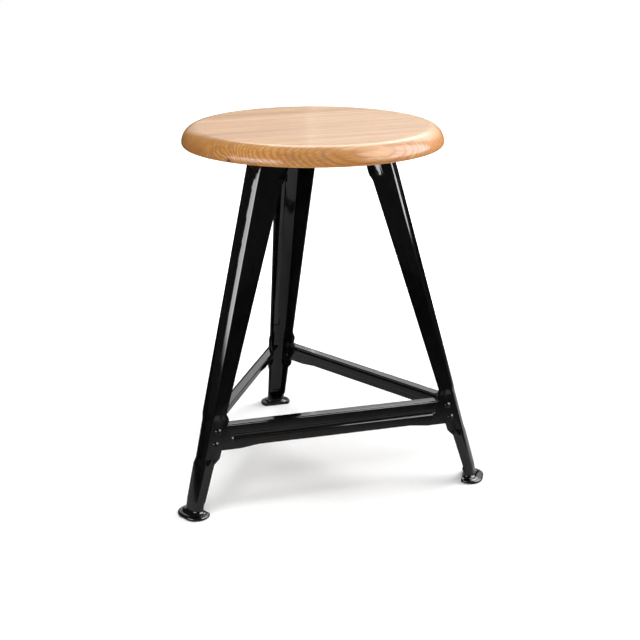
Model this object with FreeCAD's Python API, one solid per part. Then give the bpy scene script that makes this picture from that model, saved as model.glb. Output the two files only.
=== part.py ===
import FreeCAD, Part
import math
import os

# Round oak seat on three pressed sheet steel legs, tied by three riveted stretchers.
# Millimetres. +Z up, the floor at z = 0, the rear leg towards +Y. The pieces are made round the stool's
# axis, and moved at the end to put the origin at the bottom centre of the whole stool's box.

# Overall
seat_height = 500.0
rear_leg_azimuth = 90.0
third_turn = 360 / 3

# Seat: a disc of glued staves with a large round on its top edge
seat_diameter = 355.0
seat_thickness = 25.0
seat_top_round = 21.0
seat_bottom_round = 3.5
stave_count = 4
grain_azimuth = 5.0

# Plate under the seat
plate_margin = 3.7
plate_thickness = 2.0
plate_opening_radius = 24.0

# Legs: the web is crowned, and web radius is where its outer face would meet the walls, measured from
# the stool's axis
leg_sheet = 2.0
web_radius_at_floor = 241.3
web_radius_at_top = 106.3
web_half_at_floor = 11.2
web_half_at_top = 13.4
channel_depth_at_floor = 11.1
channel_depth_at_top = 28.8
opening_half_at_floor = 13.6
opening_half_at_top = 32.3
web_crown_radius = 40.0
leg_corner_radius = 4.5
unbent_length = 2.0

# Lugs on the leg walls, where the stretchers are riveted
lug_middle_height = 104.0
lug_length = 52.0
lug_run_out = 8.0
lug_extra = 5.5

# Ears at the top of the leg walls
ear_length = 32.0
ear_run_out = 8.0
ear_extra = 3.0
ear_corner_radius = 3.5
ear_crown_radius = 400.0
ear_bend_angle = 14.0
ear_bend_length = 4.5

# Foot: the walls curl into a C tube, which flares into a rim with a rolled bead
curl_top_height = 22.0
curl_bottom_height = 9.0
foot_half_width = 13.8
foot_depth = 14.7
foot_corner_radius = 8.0
foot_elbow_radius = 5.6
foot_gap = 11.0
bead_radius = 2.7
bead_flat = 0.3
rim_overhang = 7.4
rim_inner_overhang = 4.5
rim_hollow_share = 0.6
form_steps = 5

# Stretchers: a leaning web with a top flange and a long groove pressed into its outer face.
# The drop and the groove's ends are measured from the middle of the joint's rivets.
stretcher_sheet = 2.0
stretcher_web_height = 31.0
stretcher_flange_depth = 14.8
stretcher_bend_radius = 5.0
stretcher_below_middle = 15.0
stretcher_end_drop = 3.0
stretcher_tab_shoulder = 1.0
stretcher_drop_start = 58.0
stretcher_drop_end = 32.0
flange_end_gap = 1.5
groove_end_distance = 20.0
groove_width = 7.6
groove_floor_width = 4.4
groove_depth = 2.0
tab_edge_margin = 5.5

# Rivets between stretchers and lugs
joint_height = 105.6
joint_rivet_inset = 10.6
joint_rivet_spacing = 17.6
rivet_shank_radius = 2.4
rivet_head_radius = 4.4
rivet_head_height = 2.5
rivet_tail_radius = 3.9
rivet_tail_height = 1.8
head_rim_share = 0.25

# Rivets between the leg tops and the seat plate, flush on the upper side
top_rivet_shank_radius = 3.0
top_rivet_head_radius = 5.4
top_rivet_head_height = 2.8
top_rivet_inset = 13.0
top_rivet_side_inset = 20.0
top_rivet_side_offset = 12.0

# Wood screws that hold the seat to the plate
screw_rim_distance = 28.0
screw_half_angle = 15.0
screw_shank_radius = 2.3
screw_tip_radius = 0.3
screw_cover = 8.0
screw_head_radius = 4.6
screw_head_height = 3.0
screw_cross_length = 5.0
screw_cross_width = 1.2
screw_cross_depth = 1.4
washer_radius = 6.5
washer_thickness = 1.2

# Fits, and how far cutting shapes run past what they cut
hole_clearance = 0.1
cut_past = 5.0

plate_bottom = seat_height - seat_thickness - plate_thickness
leg_top = plate_bottom
seat_radius = seat_diameter / 2
plate_radius = web_radius_at_top + plate_margin
screw_circle_radius = plate_radius - screw_rim_distance
screw_grip = seat_thickness - screw_cover
UP = FreeCAD.Vector(0, 0, 1)


def blend(low, high, share):
    return low + (high - low) * share


def at_height(z, at_floor, at_top):
    return blend(at_floor, at_top, z / leg_top)


def web_radius(z):
    return at_height(z, web_radius_at_floor, web_radius_at_top)


def turned(shape, angle):
    copy = shape.copy()
    copy.rotate(FreeCAD.Vector(0, 0, 0), UP, angle)
    return copy


# The lug faces and the stretchers share one leaning plane on each side of the stool.
# Its distance from the axis falls with height as the leg walls do.

half_leg_angle = math.radians(third_turn / 2)


def wall_edge_distance(z):
    u = web_radius(z) - at_height(z, channel_depth_at_floor, channel_depth_at_top)
    v = at_height(z, opening_half_at_floor, opening_half_at_top)
    return u * math.cos(half_leg_angle) + v * math.sin(half_leg_angle)


plane_slope = (wall_edge_distance(0) - wall_edge_distance(leg_top)) / leg_top
plane_lean = math.degrees(math.atan(plane_slope))


def lug_plane_distance(z):
    return wall_edge_distance(0) - plane_slope * z


# Leg sections. Half a section is a path that starts at the middle of the web and runs to the free
# edge of the wall: web, corner, wall, elbow, lip. Lengths are along the outer face, turns in degrees.

def open_section(radius, web_half, depth, opening_half, crown_radius, corner_radius, bend, bend_length):
    # The crown's circle passes through the two points where the walls' planes meet the web's chord. The
    # corner's circle touches the crown's circle from inside, and the wall.
    run = math.hypot(depth, opening_half - web_half)
    turn = math.atan2(depth, opening_half - web_half)
    half_crown = math.asin(web_half / crown_radius)
    between = crown_radius - corner_radius
    corner_turn = math.acos((crown_radius * math.cos(turn - half_crown) - corner_radius) / between)
    tangent = crown_radius * math.sin(turn - half_crown) - between * math.sin(corner_turn)
    straight = run - tangent - bend_length
    apex = radius + crown_radius * (1 - math.cos(half_crown))
    return {"radius": apex, "web": crown_radius * (turn - corner_turn),
            "web_turn": math.degrees(turn - corner_turn), "corner": corner_radius * corner_turn,
            "corner_turn": math.degrees(corner_turn), "wall": straight / 2, "elbow": bend_length,
            "elbow_turn": bend, "lip": straight / 2}


def plain_section(z, crown_radius=web_crown_radius, corner_radius=leg_corner_radius, bend=0.0,
                  bend_length=unbent_length):
    return open_section(web_radius(z), at_height(z, web_half_at_floor, web_half_at_top),
                        at_height(z, channel_depth_at_floor, channel_depth_at_top),
                        at_height(z, opening_half_at_floor, opening_half_at_top),
                        crown_radius, corner_radius, bend, bend_length)


def lug_section(z):
    # The wall lies in the lug plane, parallel to the stretcher, and is longer than the plain wall.
    radius = web_radius(z)
    web_half = (lug_plane_distance(z) - radius * math.cos(half_leg_angle)) / math.sin(half_leg_angle)
    splay = math.pi / 2 - half_leg_angle
    depth = at_height(z, channel_depth_at_floor, channel_depth_at_top) + lug_extra * math.cos(splay)
    return open_section(radius, web_half, depth, web_half + depth * math.tan(splay), web_crown_radius,
                        leg_corner_radius, 0.0, unbent_length)


def ear_section(z, crown_radius, bend):
    section = plain_section(z, crown_radius, ear_corner_radius, -bend, ear_bend_length)
    section["lip"] += ear_extra
    return section


def foot_section(z):
    return {"radius": web_radius(z), "web": foot_half_width - foot_corner_radius, "web_turn": 0.0,
            "corner": foot_corner_radius * math.pi / 2, "corner_turn": 90.0,
            "wall": foot_depth - foot_corner_radius - foot_elbow_radius,
            "elbow": foot_elbow_radius * math.pi / 2, "elbow_turn": 90.0,
            "lip": foot_half_width - foot_elbow_radius - foot_gap / 2}


def mixed_section(first, second, share):
    return {key: blend(first[key], second[key], share) for key in first}


def half_path(section, inset):
    # Returns the pieces of the path as pairs or triples of (u, v) points, moved inwards by inset.
    u = section["radius"] - inset
    v = 0.0
    heading = 90.0
    pieces = []
    steps = [("web", section["web_turn"]), ("corner", section["corner_turn"]), ("wall", 0.0),
             ("elbow", section["elbow_turn"]), ("lip", 0.0)]
    for name, turn in steps:
        length = section[name]
        start = (u, v)
        if abs(turn) < 0.001:
            u += length * math.cos(math.radians(heading))
            v += length * math.sin(math.radians(heading))
            pieces.append([start, (u, v)])
            continue
        radius = length / math.radians(turn) - inset
        centre_u = u + radius * math.cos(math.radians(heading + 90))
        centre_v = v + radius * math.sin(math.radians(heading + 90))
        points = [start]
        for share in (0.5, 1.0):
            angle = math.radians(heading - 90 + turn * share)
            points.append((centre_u + radius * math.cos(angle), centre_v + radius * math.sin(angle)))
        u, v = points[-1]
        heading += turn
        pieces.append(points)
    return pieces


def edge_through(points, z):
    spots = [FreeCAD.Vector(u, v, z) for u, v in points]
    if len(spots) == 2:
        return Part.LineSegment(spots[0], spots[1]).toShape()
    return Part.Arc(spots[0], spots[1], spots[2]).toShape()


def mirrored(points):
    return [(u, -v) for u, v in reversed(points)]


def whole_path(section, inset):
    # From one free edge round the web to the other, with the web as a single piece.
    half = half_path(section, inset)
    web_start, web_end = half[0][0], half[0][-1]
    web = [(web_end[0], -web_end[1]), web_end]
    if web_start[0] - web_end[0] > 0.001:
        web.insert(1, web_start)
    other_side = [mirrored(points) for points in reversed(half[1:])]
    return other_side + [web] + half[1:]


def channel_wire(section, z):
    outer = whole_path(section, 0)
    inner = [list(reversed(points)) for points in reversed(whole_path(section, leg_sheet))]
    pieces = outer + [[outer[-1][-1], inner[0][0]]] + inner + [[inner[-1][-1], outer[0][0]]]
    return Part.Wire([edge_through(points, z) for points in pieces])


def oval_wire(section, inset, z):
    outline = whole_path(section, inset)
    pieces = outline + [[outline[-1][-1], outline[0][0]]]
    return Part.Wire([edge_through(points, z) for points in pieces])


def ruled_loft(wires):
    solid = None
    for lower, upper in zip(wires, wires[1:]):
        piece = Part.makeLoft([lower, upper], True, True)
        solid = piece if solid is None else solid.fuse(piece)
    return solid


def leg_channel():
    lug_bottom = lug_middle_height - lug_length / 2
    lug_top = lug_middle_height + lug_length / 2
    ear_bottom = leg_top - ear_length
    sections = []
    curled = foot_section(curl_bottom_height)
    straight = plain_section(curl_top_height)
    for step in range(form_steps + 1):
        share = step / form_steps
        z = blend(curl_bottom_height, curl_top_height, share)
        sections.append((z, mixed_section(curled, straight, share)))
    z = lug_bottom - lug_run_out
    sections.append((z, plain_section(z)))
    sections.append((lug_bottom, lug_section(lug_bottom)))
    sections.append((lug_top, lug_section(lug_top)))
    z = lug_top + lug_run_out
    sections.append((z, plain_section(z)))
    z = ear_bottom - ear_run_out
    sections.append((z, plain_section(z)))
    sections.append((ear_bottom, ear_section(ear_bottom, web_crown_radius, 1.0)))
    sections.append((leg_top, ear_section(leg_top, ear_crown_radius, ear_bend_angle)))
    return ruled_loft([channel_wire(section, z) for z, section in sections])


def leg_top_flange():
    # The web and walls are folded in at the top to a flat face that bears on the seat plate.
    section = ear_section(leg_top, ear_crown_radius, ear_bend_angle)
    outline = oval_wire(section, leg_sheet / 2, leg_top - leg_sheet)
    return Part.Face(outline).extrude(FreeCAD.Vector(0, 0, leg_sheet))


def foot_base():
    # The tube flares out along a quarter ellipse to a rim, which ends in a bead that stands on the
    # floor. The hollow below follows the flare one sheet thickness inside it. The bead is flattened
    # a little where it stands, and the rim is cut short on the side of the stool's axis.
    bead_height = bead_radius - bead_flat
    rim_top = bead_height + bead_radius - 2 * bead_flat
    section = foot_section(bead_height)
    skirt = []
    hollow = [(curl_bottom_height + leg_sheet, -leg_sheet)]
    for step in range(form_steps + 1):
        share = step / form_steps
        angle = share * math.pi / 2
        z = curl_bottom_height - (curl_bottom_height - rim_top) * math.sin(angle)
        spread = rim_overhang * (1 - math.cos(angle))
        skirt.append((z, spread))
        if share <= rim_hollow_share:
            hollow.append((z - leg_sheet * math.sin(angle), spread - leg_sheet * math.cos(angle)))
    skirt.append((0.0, rim_overhang))
    hollow.append((-cut_past, hollow[-1][1]))
    base = ruled_loft([oval_wire(foot_section(z), -spread, z) for z, spread in reversed(skirt)])
    path = oval_wire(section, -rim_overhang, bead_height)
    start = FreeCAD.Vector(section["radius"] + rim_overhang, 0, bead_height)
    circle = Part.Wire(Part.makeCircle(bead_radius, start, FreeCAD.Vector(0, 1, 0)))
    half = len(path.Edges) // 2 - 1
    bead = Part.Wire(path.Edges[half:] + path.Edges[:half]).makePipeShell([circle], True, False)
    cut = ruled_loft([oval_wire(foot_section(max(z, 0)), -spread, z) for z, spread in reversed(hollow)])
    inner_side = section["radius"] - foot_depth - rim_inner_overhang
    block = 3 * foot_half_width
    gap = Part.makeBox(block, foot_gap, 2 * block,
                       FreeCAD.Vector(section["radius"] - foot_depth / 2 - block, -foot_gap / 2, -block))
    chord = Part.makeBox(block, 2 * block, block, FreeCAD.Vector(inner_side - block, -block, -cut_past))
    floor = Part.makeBox(2 * block, 2 * block, block,
                         FreeCAD.Vector(section["radius"] - block, -block, -block))
    return base.fuse(bead).cut(cut).cut(gap).cut(chord).cut(floor)


def one_solid(shape):
    clean = shape.removeSplitter()
    return clean.Solids[0] if len(clean.Solids) == 1 else clean


# Side frame: x along the stretcher, outer faces of the stretchers in the plane y = 0 with outside
# towards -Y, height above the joint's middle along z. It is then leaned and set at its distance.

def placed_on_side(shape, side):
    copy = shape.copy()
    copy.rotate(FreeCAD.Vector(0, 0, 0), FreeCAD.Vector(1, 0, 0), -plane_lean)
    copy.translate(FreeCAD.Vector(0, leg_sheet - lug_plane_distance(joint_height), joint_height))
    return turned(copy, rear_leg_azimuth - 90 + side * third_turn)


def lug_edge_distance(z):
    # From the middle of a side to the free edge of the lug, along the side.
    u, v = whole_path(lug_section(z), 0)[-1][-1]
    return u * math.sin(half_leg_angle) - v * math.cos(half_leg_angle)


joint_rivet_offset = lug_edge_distance(joint_height) + joint_rivet_inset
groove_half_length = joint_rivet_offset - groove_end_distance
leg_run_slope = (web_radius_at_floor - web_radius_at_top) / leg_top * math.sin(half_leg_angle)


def rivet_spot(end, row):
    # The two rivets lie along the leg, so the upper one is nearer to the middle of the side.
    rise = row * joint_rivet_spacing / 2
    return end * (joint_rivet_offset - rise * leg_run_slope), rise


def rivet_holes(end):
    holes = []
    for row in (-1, 1):
        x, z = rivet_spot(end, row)
        holes.append(Part.makeCylinder(rivet_shank_radius + hole_clearance,
                                       leg_sheet + stretcher_sheet + 2 * cut_past,
                                       FreeCAD.Vector(x, -leg_sheet - cut_past, z),
                                       FreeCAD.Vector(0, 1, 0)))
    return holes


def domed_head(radius, height, at, direction):
    # A round head: a short straight rim under a spherical cap.
    rim = height * head_rim_share
    cap_height = height - rim
    ball_radius = (radius * radius + cap_height * cap_height) / (2 * cap_height)
    half_angle = math.asin(radius / ball_radius) / 2
    corners = [FreeCAD.Vector(0, 0, 0), FreeCAD.Vector(radius, 0, 0), FreeCAD.Vector(radius, 0, rim),
               FreeCAD.Vector(0, 0, height)]
    centre_height = height - ball_radius
    middle = FreeCAD.Vector(ball_radius * math.sin(half_angle), 0,
                            centre_height + ball_radius * math.cos(half_angle))
    edges = [Part.LineSegment(corners[0], corners[1]).toShape(),
             Part.LineSegment(corners[1], corners[2]).toShape(),
             Part.Arc(corners[2], middle, corners[3]).toShape(),
             Part.LineSegment(corners[3], corners[0]).toShape()]
    head = Part.Face(Part.Wire(edges)).revolve(FreeCAD.Vector(0, 0, 0), UP, 360)
    turn = FreeCAD.Rotation(UP, direction)
    head.Placement = FreeCAD.Placement(at, turn)
    return head


def joint_rivets(side, end):
    lug_thickness = leg_sheet * math.cos(math.radians(plane_lean))
    rivets = []
    for row in (-1, 1):
        x, z = rivet_spot(end, row)
        outside = FreeCAD.Vector(x, -lug_thickness, z)
        inside = FreeCAD.Vector(x, stretcher_sheet, z)
        outwards = FreeCAD.Vector(0, -1, 0)
        inwards = FreeCAD.Vector(0, 1, 0)
        shank = Part.makeCylinder(rivet_shank_radius, lug_thickness + stretcher_sheet, outside, inwards)
        head = domed_head(rivet_head_radius, rivet_head_height, outside, outwards)
        tail = domed_head(rivet_tail_radius, rivet_tail_height, inside, inwards)
        rivets.append(placed_on_side(shank.fuse(head).fuse(tail), side))
    return Part.makeCompound(rivets)


def slot_wire(half_length, width, y):
    radius = width / 2
    straight = half_length - radius
    corners = [FreeCAD.Vector(-straight, y, -radius), FreeCAD.Vector(straight, y, -radius),
               FreeCAD.Vector(straight, y, radius), FreeCAD.Vector(-straight, y, radius)]
    right = FreeCAD.Vector(half_length, y, 0)
    left = FreeCAD.Vector(-half_length, y, 0)
    return Part.Wire([Part.LineSegment(corners[0], corners[1]).toShape(),
                      Part.Arc(corners[1], right, corners[2]).toShape(),
                      Part.LineSegment(corners[2], corners[3]).toShape(),
                      Part.Arc(corners[3], left, corners[0]).toShape()])


def stretcher_section_face(x):
    # Web from the bottom edge up, a bend, then the flange, level once the stretcher leans.
    sheet = stretcher_sheet
    top = stretcher_web_height - stretcher_below_middle
    turn = 90 - plane_lean
    tangent = stretcher_bend_radius * math.tan(math.radians(turn / 2))
    lean = math.radians(plane_lean)
    flange_run = stretcher_flange_depth - tangent
    pieces = []
    for inset in (0, sheet):
        radius = stretcher_bend_radius - inset
        centre = FreeCAD.Vector(x, stretcher_bend_radius, top - tangent)
        start = centre + FreeCAD.Vector(0, -radius, 0)
        middle_angle = math.radians(turn / 2)
        end_angle = math.radians(turn)
        middle = centre + FreeCAD.Vector(0, -radius * math.cos(middle_angle), radius * math.sin(middle_angle))
        end = centre + FreeCAD.Vector(0, -radius * math.cos(end_angle), radius * math.sin(end_angle))
        bottom = FreeCAD.Vector(x, inset, -stretcher_below_middle)
        tip = end + FreeCAD.Vector(0, math.cos(lean), math.sin(lean)) * flange_run
        pieces.append((bottom, start, middle, end, tip))
    outer, inner = pieces
    edges = [Part.LineSegment(outer[0], outer[1]).toShape(), Part.Arc(outer[1], outer[2], outer[3]).toShape(),
             Part.LineSegment(outer[3], outer[4]).toShape(), Part.LineSegment(outer[4], inner[4]).toShape(),
             Part.LineSegment(inner[4], inner[3]).toShape(), Part.Arc(inner[3], inner[2], inner[1]).toShape(),
             Part.LineSegment(inner[1], inner[0]).toShape(), Part.LineSegment(inner[0], outer[0]).toShape()]
    return Part.Face(Part.Wire(edges))


def tab_plate():
    # Flat blank of the web: it drops a little towards its ends, which follow the legs' lean.
    top = stretcher_web_height - stretcher_below_middle - stretcher_tab_shoulder
    bottom = -stretcher_below_middle
    low = bottom - stretcher_end_drop
    half = []
    for z in (low, top):
        half.append((joint_rivet_offset + tab_edge_margin - z * leg_run_slope, z))
    outline = [(joint_rivet_offset - stretcher_drop_start, bottom),
               (joint_rivet_offset - stretcher_drop_end, low), half[0], half[1]]
    points = outline + [(-x, z) for x, z in reversed(outline)]
    corners = [FreeCAD.Vector(x, 0, z) for x, z in points]
    return Part.Face(Part.makePolygon(corners + [corners[0]])).extrude(FreeCAD.Vector(0, stretcher_sheet, 0))


def stretcher():
    # The bend and flange stop short of the free edges of the lugs.
    length = lug_edge_distance(joint_height + stretcher_web_height - stretcher_below_middle) - flange_end_gap
    flanged = stretcher_section_face(-length).extrude(FreeCAD.Vector(2 * length, 0, 0))
    body = flanged.fuse(tab_plate())
    ridge_width = groove_width + 2 * stretcher_sheet
    ridge_floor = groove_floor_width + 2 * stretcher_sheet
    ridge_half = groove_half_length + stretcher_sheet
    side_step = (groove_width - groove_floor_width) / 2
    ridge = Part.makeLoft([slot_wire(ridge_half, ridge_width, stretcher_sheet / 2),
                           slot_wire(ridge_half - side_step, ridge_floor, stretcher_sheet + groove_depth)],
                          True, True)
    groove = Part.makeLoft([slot_wire(groove_half_length, groove_width, 0),
                            slot_wire(groove_half_length - side_step, groove_floor_width, groove_depth)],
                           True, True)
    body = body.fuse(ridge).cut(groove)
    for end in (-1, 1):
        for hole in rivet_holes(end):
            body = body.cut(hole)
    return one_solid(body)


# The seat plate and its fastenings

def top_rivet_spots():
    radius = web_radius(leg_top)
    return [(radius - top_rivet_inset, 0.0),
            (radius - top_rivet_side_inset, top_rivet_side_offset),
            (radius - top_rivet_side_inset, -top_rivet_side_offset)]


def top_rivet_holes():
    holes = []
    for u, v in top_rivet_spots():
        holes.append(Part.makeCylinder(top_rivet_shank_radius + hole_clearance,
                                       leg_sheet + plate_thickness + 2 * cut_past,
                                       FreeCAD.Vector(u, v, leg_top - leg_sheet - cut_past)))
    return holes


def top_rivets():
    rivets = []
    for u, v in top_rivet_spots():
        low = FreeCAD.Vector(u, v, leg_top - leg_sheet)
        shank = Part.makeCylinder(top_rivet_shank_radius, leg_sheet + plate_thickness, low)
        head = domed_head(top_rivet_head_radius, top_rivet_head_height, low, UP * -1)
        rivets.append(turned(shank.fuse(head), rear_leg_azimuth))
    return Part.makeCompound(rivets)


def screw_spots():
    spots = []
    for number in range(3):
        middle = rear_leg_azimuth + (number + 0.5) * third_turn
        for side in (-1, 1):
            angle = math.radians(middle + side * screw_half_angle)
            spots.append((screw_circle_radius * math.cos(angle), screw_circle_radius * math.sin(angle)))
    return spots


def seat_screws():
    screws = []
    for x, y in screw_spots():
        base = FreeCAD.Vector(x, y, plate_bottom - washer_thickness)
        reach = washer_thickness + plate_thickness + screw_grip
        tip_length = 2 * screw_shank_radius
        shank = Part.makeCylinder(screw_shank_radius, reach - tip_length, base)
        tip = Part.makeCone(screw_shank_radius, screw_tip_radius, tip_length,
                            base + UP * (reach - tip_length))
        head = domed_head(screw_head_radius, screw_head_height, base, UP * -1)
        screw = shank.fuse(tip).fuse(head)
        for wide, deep in ((screw_cross_length, screw_cross_width), (screw_cross_width, screw_cross_length)):
            corner = base + FreeCAD.Vector(-wide / 2, -deep / 2, -screw_head_height)
            screw = screw.cut(Part.makeBox(wide, deep, screw_cross_depth, corner))
        screws.append(screw)
    return Part.makeCompound(screws)


def seat_washers():
    washers = []
    for x, y in screw_spots():
        base = FreeCAD.Vector(x, y, plate_bottom - washer_thickness)
        ring = Part.makeCylinder(washer_radius, washer_thickness, base)
        washers.append(ring.cut(Part.makeCylinder(screw_shank_radius + hole_clearance, washer_thickness, base)))
    return Part.makeCompound(washers)


def seat_plate():
    plate = Part.makeCylinder(plate_radius, plate_thickness, FreeCAD.Vector(0, 0, plate_bottom))
    plate = plate.cut(Part.makeCylinder(plate_opening_radius, plate_thickness, FreeCAD.Vector(0, 0, plate_bottom)))
    for number in range(3):
        for hole in top_rivet_holes():
            plate = plate.cut(turned(hole, rear_leg_azimuth + number * third_turn))
    for x, y in screw_spots():
        plate = plate.cut(Part.makeCylinder(screw_shank_radius + hole_clearance, plate_thickness + 2 * cut_past,
                                            FreeCAD.Vector(x, y, plate_bottom - cut_past)))
    return one_solid(plate)


# The seat

def seat_disc():
    top = seat_height
    bottom = seat_height - seat_thickness
    quarter = math.sqrt(0.5)
    points = [FreeCAD.Vector(0, 0, bottom),
              FreeCAD.Vector(seat_radius - seat_bottom_round, 0, bottom),
              FreeCAD.Vector(seat_radius, 0, bottom + seat_bottom_round),
              FreeCAD.Vector(seat_radius, 0, top - seat_top_round),
              FreeCAD.Vector(seat_radius - seat_top_round, 0, top),
              FreeCAD.Vector(0, 0, top)]
    low_middle = FreeCAD.Vector(seat_radius - seat_bottom_round * (1 - quarter), 0,
                                bottom + seat_bottom_round * (1 - quarter))
    high_middle = FreeCAD.Vector(seat_radius - seat_top_round * (1 - quarter), 0,
                                 top - seat_top_round * (1 - quarter))
    edges = [Part.LineSegment(points[0], points[1]).toShape(),
             Part.Arc(points[1], low_middle, points[2]).toShape(),
             Part.LineSegment(points[2], points[3]).toShape(),
             Part.Arc(points[3], high_middle, points[4]).toShape(),
             Part.LineSegment(points[4], points[5]).toShape(),
             Part.LineSegment(points[5], points[0]).toShape()]
    return Part.Face(Part.Wire(edges)).revolve(FreeCAD.Vector(0, 0, 0), UP, 360)


def seat_staves():
    disc = seat_disc()
    for x, y in screw_spots():
        disc = disc.cut(Part.makeCylinder(screw_shank_radius + hole_clearance,
                                          screw_grip + hole_clearance + cut_past,
                                          FreeCAD.Vector(x, y, seat_height - seat_thickness - cut_past)))
    width = seat_diameter / stave_count
    staves = []
    for number in range(stave_count):
        board = Part.makeBox(2 * seat_diameter, width, 2 * seat_thickness,
                             FreeCAD.Vector(-seat_diameter, number * width - seat_radius,
                                            seat_height - 1.5 * seat_thickness))
        staves.append(one_solid(disc.common(turned(board, grain_azimuth))))
    return staves


def rear_leg():
    # The right stretcher ends on it with its high-x end and the left one with its low-x end.
    body = leg_channel().fuse(leg_top_flange()).fuse(foot_base())
    for hole in top_rivet_holes():
        body = body.cut(hole)
    body = turned(body, rear_leg_azimuth)
    for side, end in ((1, 1), (2, -1)):
        for hole in rivet_holes(end):
            body = body.cut(placed_on_side(hole, side))
    return one_solid(body)


# Sides: 0 is the front, 1 the right and 2 the left. The legs follow each other by a third of a turn:
# rear, left, right.

nodes = {}
for number, stave in enumerate(seat_staves(), 1):
    nodes["seat_stave_%d" % number] = stave
nodes["seat_plate"] = seat_plate()
nodes["seat_screws"] = seat_screws()
nodes["seat_washers"] = seat_washers()
one_leg = rear_leg()
one_set = top_rivets()
for number, name in enumerate(("rear_leg", "left_leg", "right_leg")):
    nodes[name] = turned(one_leg, number * third_turn)
    nodes[name + "_top_rivets"] = turned(one_set, number * third_turn)
one_stretcher = stretcher()
for side, name in enumerate(("front", "right", "left")):
    nodes[name + "_stretcher"] = placed_on_side(one_stretcher, side)
nodes["rivets_front_left"] = joint_rivets(0, -1)
nodes["rivets_front_right"] = joint_rivets(0, 1)
nodes["rivets_right_front"] = joint_rivets(1, -1)
nodes["rivets_right_rear"] = joint_rivets(1, 1)
nodes["rivets_left_rear"] = joint_rivets(2, -1)
nodes["rivets_left_front"] = joint_rivets(2, 1)

# The rear foot's bead reaches furthest back, and the seat furthest forward.
rear_reach = web_radius(bead_radius - bead_flat) + rim_overhang + bead_radius
to_middle = FreeCAD.Vector(0, (seat_radius - rear_reach) / 2, 0)

os.makedirs("parts", exist_ok=True)
for name, shape in nodes.items():
    shape.translate(to_middle)
    shape.exportStep("parts/%s.step" % name)
    print(name, len(shape.Solids), round(shape.Volume), shape.isValid())
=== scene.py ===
import itertools
import math

import bmesh
import bpy
from mathutils import Matrix, Vector


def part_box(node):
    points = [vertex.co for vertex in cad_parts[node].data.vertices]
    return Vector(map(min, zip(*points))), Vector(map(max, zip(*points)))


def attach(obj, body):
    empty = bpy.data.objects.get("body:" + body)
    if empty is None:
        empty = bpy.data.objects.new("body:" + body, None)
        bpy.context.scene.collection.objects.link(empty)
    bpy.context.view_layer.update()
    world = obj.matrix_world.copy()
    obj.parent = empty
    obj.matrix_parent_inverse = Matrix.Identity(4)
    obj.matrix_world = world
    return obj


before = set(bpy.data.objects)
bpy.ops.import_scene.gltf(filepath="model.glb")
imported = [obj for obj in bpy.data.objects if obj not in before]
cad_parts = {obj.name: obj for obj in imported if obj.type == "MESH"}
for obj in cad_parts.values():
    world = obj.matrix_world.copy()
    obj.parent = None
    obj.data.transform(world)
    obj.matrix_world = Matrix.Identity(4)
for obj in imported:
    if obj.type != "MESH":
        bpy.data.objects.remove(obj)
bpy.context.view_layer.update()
scene = bpy.context.scene

# Lengths are in metres and angles in degrees. The stool's own axis is vertical, through the middle of the
# seat plate.

AXIS_Y = (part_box("seat_plate")[0].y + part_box("seat_plate")[1].y) / 2
SEAT_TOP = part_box("seat_stave_2")[1].z

# The pieces. A leg's turn is counted from the rear leg, about the stool's axis.

LEG_TURNS = {"rear": 0.0, "left": 120.0, "right": -120.0}
STRETCHERS = ("front", "right", "left")
RIVET_PAIRS = ("front_left", "front_right", "right_front", "right_rear", "left_rear", "left_front")


def turn_matrix(axis, angle):
    return Matrix.Rotation(math.radians(angle), 4, axis)


# Camera at the photo's viewing angle. Its place is counted from the stool's axis at floor level. It tilts up
# from looking straight down, and rolls about its own line of sight.

SENSOR_MM = 36.0
LENS_MM = 67.056
CLIP_FROM = 0.05
CLIP_TO = 60.0
CAMERA_PLACE = Vector((-0.4388, -1.5489, 0.7654))
CAMERA_TURN = -16.158
CAMERA_TILT = 71.295
CAMERA_ROLL = -0.068


def make_camera():
    data = bpy.data.cameras.new("camera")
    data.sensor_width = SENSOR_MM
    data.lens = LENS_MM
    data.clip_start = CLIP_FROM
    data.clip_end = CLIP_TO
    camera = bpy.data.objects.new("camera", data)
    scene.collection.objects.link(camera)
    place = Matrix.Translation(CAMERA_PLACE + Vector((0, AXIS_Y, 0)))
    turned = turn_matrix("Z", CAMERA_TURN) @ turn_matrix("X", CAMERA_TILT) @ turn_matrix("Z", CAMERA_ROLL)
    camera.matrix_world = place @ turned
    scene.camera = camera


# Node helpers

WHITE = (1, 1, 1, 1)
BLACK = (0.0, 0.0, 0.0)
NOISE_MIDDLE = (0.5, 0.5, 0.5)


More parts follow.
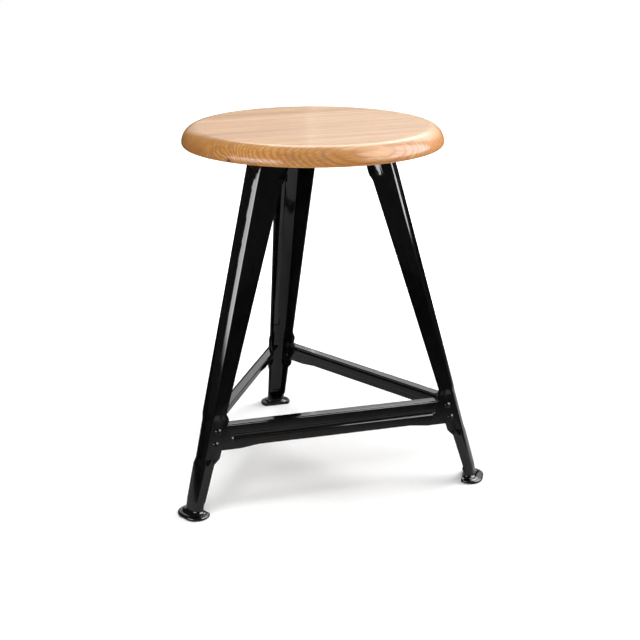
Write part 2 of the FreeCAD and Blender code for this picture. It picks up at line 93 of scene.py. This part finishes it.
class Tree:
    # Short calls for the shader nodes of a material, of the world or of a lamp

    def __init__(self, owner):
        owner.use_nodes = True
        self.nodes = owner.node_tree.nodes
        self.links = owner.node_tree.links

    def put(self, target, value):
        if isinstance(value, bpy.types.NodeSocket):
            self.links.new(value, target)
        else:
            target.default_value = value

    def geometry(self, output):
        return self.nodes.new("ShaderNodeNewGeometry").outputs[output]

    def rays(self):
        return self.nodes.new("ShaderNodeLightPath").outputs

    def math(self, kind, *values):
        node = self.nodes.new("ShaderNodeMath")
        node.operation = kind
        for socket, value in zip(node.inputs, values):
            self.put(socket, value)
        return node.outputs[0]

    def vector_node(self, kind, *values):
        node = self.nodes.new("ShaderNodeVectorMath")
        node.operation = kind
        for socket, value in zip(node.inputs, values):
            self.put(socket, value)
        return node

    def vector(self, kind, a, b):
        return self.vector_node(kind, a, b).outputs["Vector"]

    def measure(self, kind, *values):
        return self.vector_node(kind, *values).outputs["Value"]

    def split(self, vector):
        node = self.nodes.new("ShaderNodeSeparateXYZ")
        self.put(node.inputs[0], vector)
        return node.outputs["X"], node.outputs["Y"], node.outputs["Z"]

    def mapping(self, vector, location=(0, 0, 0), rotation=(0, 0, 0), scale=(1, 1, 1)):
        node = self.nodes.new("ShaderNodeMapping")
        self.put(node.inputs["Vector"], vector)
        node.inputs["Location"].default_value = location
        node.inputs["Rotation"].default_value = rotation
        node.inputs["Scale"].default_value = scale
        return node.outputs["Vector"]

    def noise_node(self, place, cells, detail, roughness):
        node = self.nodes.new("ShaderNodeTexNoise")
        self.put(node.inputs["Vector"], place)
        node.inputs["Scale"].default_value = cells
        node.inputs["Detail"].default_value = detail
        node.inputs["Roughness"].default_value = roughness
        return node

    def noise(self, place, cells, detail=2.0, roughness=0.5):
        return self.noise_node(place, cells, detail, roughness).outputs["Fac"]

    def noise_colour(self, place, cells, detail=2.0, roughness=0.5):
        return self.noise_node(place, cells, detail, roughness).outputs["Color"]

    def chance(self, value):
        # A number from 0 to 1 that looks random and is always the same for the same value
        node = self.nodes.new("ShaderNodeTexWhiteNoise")
        node.noise_dimensions = "1D"
        self.put(node.inputs["W"], value)
        return node.outputs["Value"]

    def remap(self, value, low, high, to_low=0.0, to_high=1.0):
        node = self.nodes.new("ShaderNodeMapRange")
        self.put(node.inputs["Value"], value)
        node.inputs["From Min"].default_value = low
        node.inputs["From Max"].default_value = high
        node.inputs["To Min"].default_value = to_low
        node.inputs["To Max"].default_value = to_high
        return node.outputs["Result"]

    def ramp(self, factor, first, last):
        # From the first to the last of two stops, each a place and a colour
        node = self.nodes.new("ShaderNodeValToRGB")
        self.put(node.inputs["Fac"], factor)
        for element, (place, colour) in zip(node.color_ramp.elements, (first, last)):
            element.position = place
            element.color = (*colour, 1.0)
        return node.outputs["Color"]

    def mix(self, factor, a, b, kind="MIX"):
        node = self.nodes.new("ShaderNodeMix")
        node.data_type = "RGBA"
        node.blend_type = kind
        self.put(node.inputs["Factor"], factor)
        for socket, value in ((node.inputs["A"], a), (node.inputs["B"], b)):
            self.put(socket, value if isinstance(value, bpy.types.NodeSocket) else (*value, 1.0))
        return node.outputs["Result"]


class Surface(Tree):
    # The nodes of one material

    def __init__(self, name):
        self.material = bpy.data.materials.new(name)
        super().__init__(self.material)
        self.shader = self.nodes["Principled BSDF"]

    def place(self):
        return self.nodes.new("ShaderNodeTexCoord").outputs["Object"]

    def set(self, socket, value):
        self.put(self.shader.inputs[socket], value)

    def bump(self, height, distance, strength, sockets=("Normal",)):
        node = self.nodes.new("ShaderNodeBump")
        node.inputs["Distance"].default_value = distance
        node.inputs["Strength"].default_value = strength
        self.put(node.inputs["Height"], height)
        for socket in sockets:
            self.set(socket, node.outputs["Normal"])


def srgb(r, g, b):
    # Screen values from 0 to 255, as the linear values that the shader takes
    out = []
    for value in (r, g, b):
        c = value / 255
        out.append(c / 12.92 if c <= 0.04045 else ((c + 0.055) / 1.055) ** 2.4)
    return tuple(out)


# Oak boards. The grain runs along X, turned by a few degrees. A stave's pith has its place across the grain
# from the stool's axis and up from the seat's top. It leans sideways by its yaw and downwards by its pitch,
# in metres for each metre of length. The seed shifts the stave's noises.

GRAIN_AZIMUTH = math.radians(5.0)
GRAIN_LINE = (math.cos(GRAIN_AZIMUTH), math.sin(GRAIN_AZIMUTH), 0)
BOARD_SHIFT = (0.37, 0.013)
STAVES = (
    # pith across, pith up, yaw, pitch, shade, seed
    (-0.330, 0.130, 0.04, 0.05, 1.000, 1.0),
    (-0.330, 0.120, 0.08, 0.05, 0.990, 2.0),
    (-0.260, -0.160, -0.06, 0.05, 1.010, 3.0),
    (0.420, 0.140, 0.07, -0.04, 0.995, 4.0),
)

# Growth rings. The pith wanders by some centimetres, with so many cells per metre along and across the grain.
# Two noises then shift the count by so many rings, with cells along and across, detail and roughness.

RING_WIDTH = 0.0034
PITH_WANDER = 0.05
PITH_CELLS = (2.6, 7.0)
UNEVEN_RINGS = 7.0
UNEVEN_NOISE = (0.6, 16.0, 1.0, 0.5)
RAGGED_RINGS = 0.7
RAGGED_NOISE = (6.0, 110.0, 2.0, 0.6)

# Shares of a ring's width: where the porous early wood ends, where the dense late wood starts, where the dark
# line on the turned edge ends, and where the pores have thinned out to their least

EARLY_END = 0.45
LATE_START = 0.70
RING_LINE_END = 0.22
PORES_END = 0.5
LEAST_PORES = 0.15

# What is drawn out along the grain, and where its mask starts and is full

GRAIN = {
    # cells per metre along and across, detail, roughness, mask from, mask full at, offset
    "broad": (2.2, 30.0, 2.0, 0.55, 0.36, 0.64, (0, 0, 0)),
    "streak": (2.4, 80.0, 3.0, 0.6, 0.46, 0.70, (0, 0, 0)),
    "line": (4.5, 280.0, 2.0, 0.6, 0.50, 0.70, (0.2, 0.5, 0)),
    "fine": (26.0, 1100.0, 3.0, 0.65, 0.45, 0.75, (0, 0, 0)),
    "pores": (55.0, 1500.0, 1.0, 0.5, 0.55, 0.68, (0, 0, 0)),
    "flecks": (60.0, 420.0, 1.0, 0.5, 0.64, 0.70, (0, 0, 0)),
    "greyed": (1.6, 60.0, 2.0, 0.5, 0.56, 0.68, (0.7, 0.3, 0)),
}

# Where the surface faces along the grain, it is end grain, and the early wood shows in full. Where it no
# longer faces up or down, it is the turned edge, painted warmer and darker as painted shade of the side.

END_GRAIN_SPAN = (0.25, 0.95)
EARLY_OFF_END_GRAIN = 0.60
SIDE_FACING_SPAN = (0.35, 0.95)
SIDE_PAINTED_SHADE_TINT = (1.02, 0.92, 0.82)

LIGHT_TONE = (194, 153, 92)
MID_TONE = (176, 131, 74)
DEEP_TONE = (156, 102, 50)
BROWN_TONE = (114, 70, 36)
GREY_TONE = (130, 102, 76)
RING_LINE_TONE = (138, 76, 34)
FLECK_TONE = (208, 160, 108)

# A small knot in the front edge, with the rings bulging round it. Its place is from the stool's axis and the
# seat's top.

KNOT_TONE = (82, 48, 28)
KNOT_PLACE = (-0.1393, -0.1093, -0.0222)
KNOT_REACH = 0.018
KNOT_RINGS = 3.0
KNOT_CORE = 0.0026
KNOT_RIM = 0.0050
KNOT_COVER = 0.92
KNOT_RAGGED = 0.002

# Nearly matt wood under a clear satin coat. Both show the relief: sunk pores and early wood, and raised fine
# grain.

FINE_SPAN = (0.2, 0.8)
OAK_ROUGHNESS = (0.40, 0.55)
OAK_SPECULAR = 0.12
COAT_WEIGHT = 0.45
STREAK_SPAN = (0.3, 0.7)
COAT_ROUGHNESS = (0.11, 0.20)
PORE_RELIEF = -1.0
EARLY_RELIEF = -0.8
FINE_RELIEF = 0.4
OAK_RELIEF = 0.00010
OAK_BUMP = 0.7


def stretched(tree, board, along, across, offset=(0, 0, 0)):
    return tree.mapping(board, location=offset, scale=(along, across, across))


def grain_noise(tree, board, along, across, detail, roughness, offset=(0, 0, 0)):
    place = stretched(tree, board, along, across, offset)
    return tree.noise(place, cells=1.0, detail=detail, roughness=roughness)


def growth_rings(tree, board, pith_across, pith_up, yaw, pitch):
    # Counts rings outwards from the pith, which wanders slowly along the board
    drift = tree.noise_colour(stretched(tree, board, *PITH_CELLS), cells=1.0, detail=1.0)
    wander = tree.vector("SUBTRACT", drift, NOISE_MIDDLE)
    wander = tree.vector("MULTIPLY", wander, (0.0, PITH_WANDER, PITH_WANDER))
    along, across, up = tree.split(tree.vector("ADD", board, wander))
    y = tree.math("MULTIPLY_ADD", along, yaw, tree.math("SUBTRACT", across, pith_across))
    z = tree.math("MULTIPLY_ADD", along, pitch, tree.math("SUBTRACT", up, pith_up))
    square = tree.math("ADD", tree.math("MULTIPLY", y, y), tree.math("MULTIPLY", z, z))
    even = tree.math("DIVIDE", tree.math("SQRT", square), RING_WIDTH)
    uneven = tree.math("MULTIPLY_ADD", grain_noise(tree, board, *UNEVEN_NOISE), UNEVEN_RINGS, even)
    return tree.math("MULTIPLY_ADD", grain_noise(tree, board, *RAGGED_NOISE), RAGGED_RINGS, uneven)


def rings_round_knot(tree, from_knot, rings):
    # Adds up to KNOT_RINGS to the count, in a soft bell round the knot
    square = tree.math("MULTIPLY", from_knot, from_knot)
    bell = tree.math("EXPONENT", tree.math("MULTIPLY", square, -1 / KNOT_REACH ** 2))
    return tree.math("MULTIPLY_ADD", bell, KNOT_RINGS, rings)


def oak_colour(tree, shade, rings, masks, early, pore):
    phase = tree.math("FRACT", rings)
    normal = tree.geometry("Normal")
    facing = tree.math("ABSOLUTE", tree.measure("DOT_PRODUCT", normal, GRAIN_LINE))
    end_grain = tree.remap(facing, *END_GRAIN_SPAN)
    side_facing = tree.remap(tree.math("ABSOLUTE", tree.split(normal)[2]), *SIDE_FACING_SPAN, 1.0, 0.0)
    early_shown = tree.remap(end_grain, 0.0, 1.0, EARLY_OFF_END_GRAIN, 1.0)
    ring_line = tree.remap(phase, 0.0, RING_LINE_END, 1.0, 0.0)
    light, mid, deep, brown = (srgb(*(value * shade for value in tone))
                               for tone in (LIGHT_TONE, MID_TONE, DEEP_TONE, BROWN_TONE))
    layers = (
        # mask, how much of the colour below it covers, tone
        (masks["broad"], 1.0, mid),
        (tree.chance(tree.math("FLOOR", rings)), 0.5, mid),
        (tree.remap(phase, LATE_START, 1.0), 0.6, deep),
        (tree.math("MULTIPLY", early, early_shown), 1.0, deep),
        (masks["streak"], 0.70, deep),
        (masks["line"], 0.65, deep),
        (masks["greyed"], 0.55, srgb(*GREY_TONE)),
        (masks["fine"], 0.40, brown),
        (pore, 0.55, brown),
        (end_grain, 0.10, brown),
        (tree.math("MULTIPLY", ring_line, side_facing), 0.5, srgb(*RING_LINE_TONE)),
        (masks["flecks"], 0.2, srgb(*FLECK_TONE)),
    )
    colour = light
    for mask, cover, tone in layers:
        colour = tree.mix(tree.math("MULTIPLY", mask, cover), colour, tone)
    # The turned edge gets painted shade here: its colour is made warmer and darker than the top's.
    return tree.mix(side_facing, colour, SIDE_PAINTED_SHADE_TINT, "MULTIPLY")


def oak(name, pith_across, pith_up, yaw, pitch, shade, seed):
    tree = Surface(name)
    from_top = tree.vector("SUBTRACT", tree.place(), (0, AXIS_Y, SEAT_TOP))
    along_grain = tree.mapping(from_top, rotation=(0, 0, -GRAIN_AZIMUTH))
    board = tree.mapping(along_grain, location=(seed * BOARD_SHIFT[0], seed * BOARD_SHIFT[1], 0))
    noises = {}
    masks = {}
    for kind, (along, across, detail, roughness, start, full, offset) in GRAIN.items():
        noises[kind] = grain_noise(tree, board, along, across, detail, roughness, offset)
        masks[kind] = tree.remap(noises[kind], start, full)

    from_knot = tree.measure("LENGTH", tree.vector("SUBTRACT", from_top, KNOT_PLACE))
    plain_rings = growth_rings(tree, along_grain, pith_across, pith_up, yaw, pitch)
    rings = rings_round_knot(tree, from_knot, plain_rings)
    phase = tree.math("FRACT", rings)
    early = tree.remap(phase, 0.0, EARLY_END, 1.0, 0.0)
    pore = tree.math("MULTIPLY", masks["pores"], tree.remap(phase, 0.0, PORES_END, 1.0, LEAST_PORES))

    knot_edge = tree.math("MULTIPLY_ADD", noises["fine"], KNOT_RAGGED, from_knot)
    knot = tree.remap(knot_edge, KNOT_CORE, KNOT_RIM, KNOT_COVER, 0.0)
    colour = oak_colour(tree, shade, rings, masks, early, pore)
    tree.set("Base Color", tree.mix(knot, colour, srgb(*KNOT_TONE)))
    tree.set("Roughness", tree.remap(noises["fine"], *FINE_SPAN, *OAK_ROUGHNESS))
    tree.set("Specular IOR Level", OAK_SPECULAR)
    tree.set("Coat Weight", COAT_WEIGHT)
    tree.set("Coat Roughness", tree.remap(noises["streak"], *STREAK_SPAN, *COAT_ROUGHNESS))
    height = tree.math("MULTIPLY", early, EARLY_RELIEF)
    height = tree.math("MULTIPLY_ADD", noises["fine"], FINE_RELIEF, height)
    height = tree.math("MULTIPLY_ADD", pore, PORE_RELIEF, height)
    tree.bump(height, OAK_RELIEF, OAK_BUMP, ("Normal", "Coat Normal"))
    return tree.material


# Gloss black paint over pressed sheet: slight orange peel, slow waviness of the sheet and faint haze. On the
# rivets it is rougher and reflects less. The seed shifts a piece's noises. Each noise has its cells per
# metre, detail and roughness.

PAINT_SHIFT = (0.61, 0.23)
PEEL_NOISE = (420.0, 2.0, 0.5)
WAVE_NOISE = (24.0, 1.0, 0.4)
HAZE_NOISE = (60.0, 3.0, 0.6)
PAINT_FROM = (0.3, (0.0016, 0.0016, 0.0018))
PAINT_TO = (0.75, (0.0030, 0.0030, 0.0033))
HAZE_SPAN = (0.25, 0.8)
PAINT_ROUGHNESS = (0.05, 0.10)
PAINT_SPECULAR = 0.5
RIVET_ROUGHNESS = (0.15, 0.20)
RIVET_SPECULAR = 0.28
PAINT_IOR = 1.5
WAVE_RELIEF = 9.0
PAINT_RELIEF = 0.00002
PAINT_BUMP = 0.5


def black_paint(name, seed, roughness=PAINT_ROUGHNESS, specular=PAINT_SPECULAR):
    tree = Surface(name)
    at = tree.mapping(tree.place(), location=(seed * PAINT_SHIFT[0], seed * PAINT_SHIFT[1], 0))
    haze = tree.noise(at, *HAZE_NOISE)
    tree.set("Base Color", tree.ramp(haze, PAINT_FROM, PAINT_TO))
    tree.set("Roughness", tree.remap(haze, *HAZE_SPAN, *roughness))
    tree.set("IOR", PAINT_IOR)
    tree.set("Specular IOR Level", specular)
    height = tree.math("MULTIPLY_ADD", tree.noise(at, *WAVE_NOISE), WAVE_RELIEF, tree.noise(at, *PEEL_NOISE))
    tree.bump(height, PAINT_RELIEF, PAINT_BUMP)
    return tree.material


# Zinc plate on the screws and washers, with noises given in the same way

ZINC_GRAIN_NOISE = (900.0, 3.0, 0.6)
ZINC_PATCH_NOISE = (140.0, 2.0, 0.5)
ZINC_FROM = (0.3, (0.44, 0.44, 0.42))
ZINC_TO = (0.7, (0.62, 0.61, 0.58))
ZINC_GRAIN_SPAN = (0.25, 0.75)
ZINC_ROUGHNESS = (0.28, 0.46)
ZINC_RELIEF = 0.00002
ZINC_BUMP = 0.5


def plated_steel(name):
    tree = Surface(name)
    at = tree.place()
    grain = tree.noise(at, *ZINC_GRAIN_NOISE)
    tree.set("Base Color", tree.ramp(tree.noise(at, *ZINC_PATCH_NOISE), ZINC_FROM, ZINC_TO))
    tree.set("Roughness", tree.remap(grain, *ZINC_GRAIN_SPAN, *ZINC_ROUGHNESS))
    tree.set("Metallic", 1.0)
    tree.bump(grain, ZINC_RELIEF, ZINC_BUMP)
    return tree.material


def dress(node, material):
    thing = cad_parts[node]
    thing.data.materials.clear()
    thing.data.materials.append(material)


# The pressed sheet's look: joined vertices, normals led by the large faces and sharp only at sharp edges, and
# on the stretchers a small rounding

MERGE_WITHIN = 0.000002
SHARP_ANGLE = 62.0
BEVEL_ANGLE = 40.0
STRETCHER_ROUNDING = 0.0007
ROUNDING_SEGMENTS = 3


def pressed_sheet_nodes():
    group = bpy.data.node_groups.new("pressed_sheet", "GeometryNodeTree")
    for direction in ("INPUT", "OUTPUT"):
        group.interface.new_socket(name="Geometry", in_out=direction, socket_type="NodeSocketGeometry")
    nodes, links = group.nodes, group.links
    merge = nodes.new("GeometryNodeMergeByDistance")
    merge.inputs["Distance"].default_value = MERGE_WITHIN
    plain = nodes.new("GeometryNodeRemoveAttribute")
    plain.inputs["Name"].default_value = "custom_normal"
    smooth_faces = nodes.new("GeometryNodeSetShadeSmooth")
    smooth_faces.domain = "FACE"
    smooth_edges = nodes.new("GeometryNodeSetShadeSmooth")
    smooth_edges.domain = "EDGE"
    flat_enough = nodes.new("ShaderNodeMath")
    flat_enough.operation = "LESS_THAN"
    flat_enough.inputs[1].default_value = math.radians(SHARP_ANGLE)
    angle = nodes.new("GeometryNodeInputMeshEdgeAngle")
    links.new(angle.outputs["Unsigned Angle"], flat_enough.inputs[0])
    links.new(flat_enough.outputs[0], smooth_edges.inputs["Shade Smooth"])
    shape = nodes.new("NodeGroupInput").outputs[0]
    for step in (merge, plain, smooth_faces, smooth_edges):
        links.new(shape, step.inputs["Geometry"])
        shape = step.outputs[0]
    links.new(shape, nodes.new("NodeGroupOutput").inputs[0])
    return group


def soften(thing, group, rounding=0.0):
    thing.modifiers.new("soften", "NODES").node_group = group
    if rounding:
        bevel = thing.modifiers.new("bevel", "BEVEL")
        bevel.width = rounding
        bevel.segments = ROUNDING_SEGMENTS
        bevel.limit_method = "ANGLE"
        bevel.angle_limit = math.radians(BEVEL_ANGLE)
        bevel.use_clamp_overlap = False
    weighted = thing.modifiers.new("weighted", "WEIGHTED_NORMAL")
    weighted.keep_sharp = True


# Each foot's rim goes on across its gap, on the side of the stool's axis. The added stretch has the form of
# the gap's own end face and is a hair shorter than the gap.

FOOT_GAP = 0.011
FOOT_TOP = 0.012
ON_FACE = 0.00001
SHY_OF_FACE = 0.00002


def gap_end_face(node):
    # The triangles of the rim's end face, each as its three corners
    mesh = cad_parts[node].data
    triangles = ([mesh.vertices[index].co for index in polygon.vertices] for polygon in mesh.polygons)
    return [triangle for triangle in triangles
            if all(abs(corner.x - FOOT_GAP / 2) < ON_FACE and corner.z < FOOT_TOP for corner in triangle)]


def close_foot(side, turn, group):
    # Made across the rear foot's gap, and turned about the stool's axis to its own leg
    half = FOOT_GAP / 2 - SHY_OF_FACE
    shape = bmesh.new()
    for triangle in gap_end_face("rear_leg"):
        shape.faces.new([shape.verts.new((half, corner.y, corner.z)) for corner in triangle])
    bmesh.ops.remove_doubles(shape, verts=shape.verts, dist=MERGE_WITHIN)
    far_side = bmesh.ops.extrude_face_region(shape, geom=shape.faces[:])["geom"]
    far_verts = [part for part in far_side if isinstance(part, bmesh.types.BMVert)]
    bmesh.ops.translate(shape, verts=far_verts, vec=(-2 * half, 0, 0))
    bmesh.ops.recalc_face_normals(shape, faces=shape.faces)
    axis = Vector((0, AXIS_Y, 0))
    shape.transform(Matrix.Translation(axis) @ turn_matrix("Z", turn) @ Matrix.Translation(-axis))
    mesh = bpy.data.meshes.new(side + "_foot_inner_rim")
    shape.to_mesh(mesh)
    shape.free()
    mesh.materials.append(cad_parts[side + "_leg"].data.materials[0])
    rim = bpy.data.objects.new(side + "_foot_inner_rim", mesh)
    scene.collection.objects.link(rim)
    soften(rim, group)
    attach(rim, "root")


# Floor: a wide white plane. The camera sees it with the shadow near the stool, a little lifted, and plain
# white further out. Reflections see it dimmed, and fading to black.

FLOOR_HALF = 9.0
FLOOR_DROP = 0.0002
FLOOR_WHITE = 0.95
CLOUD_NOISE = (2.0, 2.0)
CLOUD_DEPTH = 0.01
FLOOR_ROUGHNESS = 0.9
FLOOR_SPECULAR = 0.1
FLOOR_LIFT = 0.06
WHITE_FROM = 0.40
WHITE_TO = 0.90
PAPER_IN_GLOSS = 0.42
PAPER_FADE_FROM = 0.55
PAPER_FADE_TO = 0.85


def make_stage():
    mesh = bpy.data.meshes.new("floor")
    corners = [(x * FLOOR_HALF, y * FLOOR_HALF, 0) for x, y in ((-1, -1), (1, -1), (1, 1), (-1, 1))]
    mesh.from_pydata(corners, [], [range(len(corners))])
    floor = bpy.data.objects.new("floor", mesh)
    floor.location = (0, AXIS_Y, -FLOOR_DROP)
    scene.collection.objects.link(floor)
    tree = Surface("floor_paint")
    distance = tree.measure("LENGTH", tree.place())
    rays = tree.rays()
    cloud = tree.noise(tree.place(), *CLOUD_NOISE)
    darkest, lightest = ((FLOOR_WHITE + change,) * 3 for change in (-CLOUD_DEPTH, CLOUD_DEPTH))
    paper = tree.ramp(cloud, (0.0, darkest), (1.0, lightest))
    fade = tree.remap(distance, PAPER_FADE_FROM, PAPER_FADE_TO, 1.0 - PAPER_IN_GLOSS, 1.0)
    tree.set("Base Color", tree.mix(tree.math("MULTIPLY", fade, rays["Is Glossy Ray"]), paper, BLACK))
    tree.set("Roughness", FLOOR_ROUGHNESS)
    tree.set("Specular IOR Level", FLOOR_SPECULAR)
    tree.set("Emission Color", WHITE)
    lift = tree.remap(distance, WHITE_FROM, WHITE_TO, FLOOR_LIFT, 1.0)
    tree.set("Emission Strength", tree.math("MULTIPLY", lift, rays["Is Camera Ray"]))
    mesh.materials.append(tree.material)


# Surroundings: white for the camera, an even fill on matt surfaces, and a nearly dark room in reflections

FILL = 0.336
ROOM_IN_GLOSS = 0.06


def make_world():
    scene.world = bpy.data.worlds.new("studio")
    tree = Tree(scene.world)
    rays = tree.rays()
    strength = tree.math("MULTIPLY_ADD", rays["Is Glossy Ray"], ROOM_IN_GLOSS, rays["Is Camera Ray"])
    strength = tree.math("MULTIPLY_ADD", rays["Is Diffuse Ray"], FILL, strength)
    room = tree.nodes["Background"]
    room.inputs["Color"].default_value = WHITE
    tree.put(room.inputs["Strength"], strength)


# Lamps. Azimuths go from +X towards +Y, and distances are from the stool's axis. A lamp either shows in the
# gloss or lights the matt surfaces, never both, and the camera doesn't see it.

AIM_HEIGHT = 0.3
ROUND_LAMPS = (
    # name, azimuth, distance, height, diameter, power in watts, in the gloss
    ("key", 250, 1.45, 1.50, 0.55, 6.5, False),
    ("top", 205, 0.24, 1.90, 0.80, 18.3, False),
    ("above_right", 0, 0.72, 1.90, 0.80, 11.0, True),
)
PANELS = (
    # name, azimuth, distance, low edge, high edge, width, radiance, in the gloss, share that fades
    ("front_fill", 232, 1.9, 0.05, 0.90, 1.60, 2.75, False, 0.0),
    ("left", 213, 1.9, 0.34, 0.98, 1.09, 13.0, True, 0.22),
    ("left_far", 190, 1.9, 0.34, 0.98, 0.46, 9.0, True, 0.22),
    ("right", 334, 1.9, 0.48, 3.20, 2.50, 11.5, True, 0.0),
    ("right_fill", 8, 1.9, 0.30, 1.60, 1.60, 11.0, False, 0.0),
    ("back_low", 51, 2.2, 0.78, 1.90, 1.90, 1.45, True, 0.0),
    ("back_right", 40, 2.1, 1.30, 2.60, 1.50, 4.4, True, 0.0),
    ("back_left", 88, 2.2, 0.78, 1.90, 1.10, 1.25, True, 0.0),
    ("back_high", 64, 2.2, 1.90, 4.20, 1.90, 8.0, True, 0.0),
)


def fade_low_edge(data, share):
    # The light grows from none to full over the lowest share of the panel's height
    tree = Tree(data)
    grow = tree.remap(tree.split(tree.geometry("Parametric"))[1], 0.0, share)
    grow.node.interpolation_type = "SMOOTHSTEP"
    tree.put(tree.nodes["Emission"].inputs["Strength"], grow)


def add_lamp(name, place, towards, shape, width, height, power, in_gloss):
    data = bpy.data.lights.new(name, "AREA")
    data.shape = shape
    data.size = width
    data.size_y = height
    data.energy = power
    lamp = bpy.data.objects.new(name, data)
    lamp.location = place
    lamp.rotation_mode = "QUATERNION"
    lamp.rotation_quaternion = towards.to_track_quat("-Z", "Y")
    lamp.visible_camera = False
    lamp.visible_glossy = in_gloss
    lamp.visible_diffuse = not in_gloss
    scene.collection.objects.link(lamp)
    return data


def make_lights():
    # Round lamps face the stool. Panels stand upright and face its axis.
    axis = Vector((0, AXIS_Y, 0))
    for name, azimuth, distance, height, diameter, power, in_gloss in ROUND_LAMPS:
        place = axis + turn_matrix("Z", azimuth) @ Vector((distance, 0, height))
        towards = axis + Vector((0, 0, AIM_HEIGHT)) - place
        add_lamp(name, place, towards, "DISK", diameter, diameter, power, in_gloss)
    for name, azimuth, distance, low, high, width, radiance, in_gloss, faded in PANELS:
        outwards = turn_matrix("Z", azimuth) @ Vector((1, 0, 0))
        place = axis + outwards * distance + Vector((0, 0, (low + high) / 2))
        power = radiance * math.pi * width * (high - low)
        data = add_lamp(name, place, -outwards, "RECTANGLE", width, high - low, power, in_gloss)
        if faded:
            fade_low_edge(data, faded)


make_camera()
make_world()
make_lights()
make_stage()

for number, values in enumerate(STAVES, 1):
    dress("seat_stave_%d" % number, oak("oak_%d" % number, *values))

seeds = itertools.count(1)
for side in LEG_TURNS:
    dress(side + "_leg", black_paint("paint_%s_leg" % side, next(seeds)))
for side in LEG_TURNS:
    dress(side + "_leg_top_rivets", black_paint("paint_%s_top_rivets" % side, next(seeds)))
for side in STRETCHERS:
    dress(side + "_stretcher", black_paint("paint_%s_stretcher" % side, next(seeds)))
rivet_paint = black_paint("paint_rivets", next(seeds), RIVET_ROUGHNESS, RIVET_SPECULAR)
for pair in RIVET_PAIRS:
    dress("rivets_" + pair, rivet_paint)
dress("seat_plate", black_paint("paint_seat_plate", next(seeds)))
zinc = plated_steel("zinc")
dress("seat_screws", zinc)
dress("seat_washers", zinc)

pressed = pressed_sheet_nodes()
for side in LEG_TURNS:
    soften(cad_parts[side + "_leg"], pressed)
for side in STRETCHERS:
    soften(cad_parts[side + "_stretcher"], pressed, STRETCHER_ROUNDING)
for side, turn in LEG_TURNS.items():
    close_foot(side, turn, pressed)

scene.view_settings.view_transform = "Standard"
